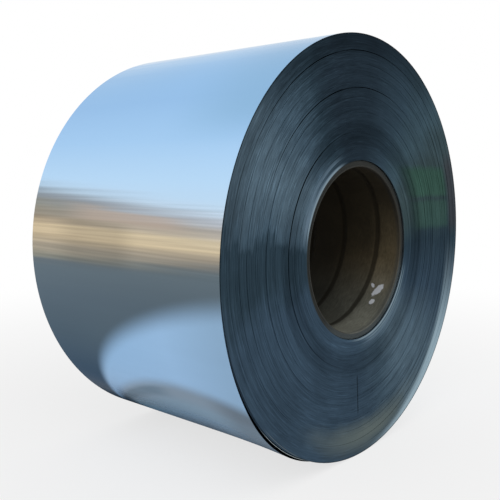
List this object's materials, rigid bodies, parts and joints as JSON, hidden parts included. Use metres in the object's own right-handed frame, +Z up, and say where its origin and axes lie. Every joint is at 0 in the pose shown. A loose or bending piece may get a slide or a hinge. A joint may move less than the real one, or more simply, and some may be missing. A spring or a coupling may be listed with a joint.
{
  "type": "steel coil",
  "caption": "Coil of bright steel strip wound on a paperboard core tube, lying with its eye level; telescoped ends of staggered turns and a loose outer wrap.",
  "frame": {"origin": "on the floor under the middle of the coil, with its outermost turns and its eye's far end as the two ends along Y", "axes": "+Z up, Y along the eye of the coil, -Y out of the end where the inner turns are set back"},
  "size_m": [1.2798, 0.815, 1.28],
  "materials": {
    "strip_steel": "bright rolled, near mirror",
    "paperboard": "matt, spiral wound"
  },
  "bodies": {
    "root": {"steel_coil": "strip_steel", "core_tube": "paperboard"}
  },
  "joints": []
}
